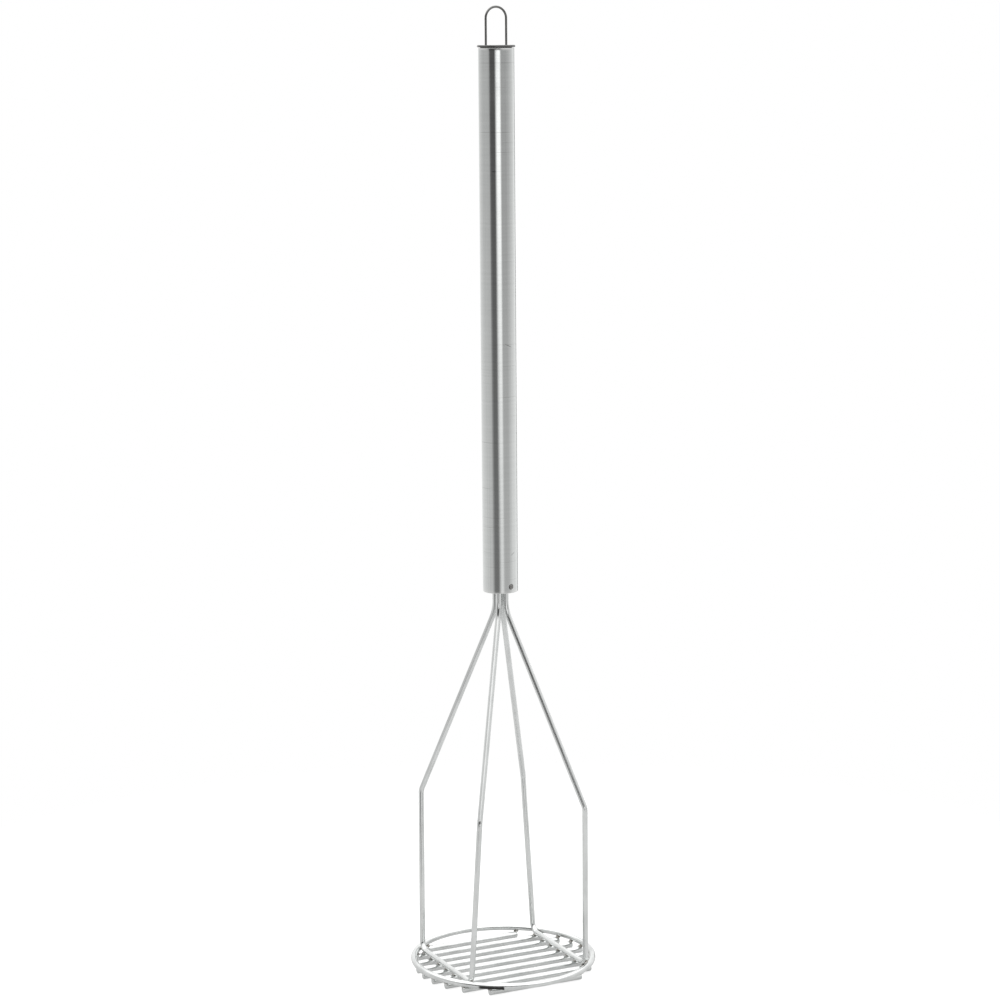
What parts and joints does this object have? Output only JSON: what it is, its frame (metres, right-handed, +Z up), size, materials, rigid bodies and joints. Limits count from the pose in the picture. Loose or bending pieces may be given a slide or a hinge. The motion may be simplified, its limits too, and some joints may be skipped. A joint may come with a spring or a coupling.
{
  "type": "potato masher",
  "caption": "Long-handled steel potato masher: a round bar grid under a wire ring, on two bent wire frames below a tubular handle with a hanging loop.",
  "frame": {"origin": "middle of the grid's underside, on the surface the masher stands on", "axes": "+Z up along the handle, X along the grid bars, Y along the feet of the wire frames"},
  "size_m": [0.119, 0.119, 0.61],
  "materials": {
    "tube_steel": "half bright, fine belt-polishing lines round the tube",
    "cap_steel": "pressed sheet and turned bar, satin",
    "wire_steel": "drawn bright wire, electropolished",
    "grid_steel": "drawn bright rod, electropolished, resistance welded",
    "pin_steel": "dull dark steel"
  },
  "bodies": {
    "root": {"handle_tube": "tube_steel", "top_cap": "cap_steel", "hang_loop": "wire_steel", "end_bush": "cap_steel", "cross_pin_front": "pin_steel", "cross_pin_back": "pin_steel", "leg_frame_left": "wire_steel", "leg_frame_right": "wire_steel", "head_ring": "grid_steel", "grid_bar_1": "grid_steel", "grid_bar_2": "grid_steel", "grid_bar_3": "grid_steel", "grid_bar_4": "grid_steel", "grid_bar_5": "grid_steel", "grid_bar_6": "grid_steel", "grid_bar_7": "grid_steel", "grid_bar_8": "grid_steel", "grid_bar_9": "grid_steel"}
  },
  "joints": []
}
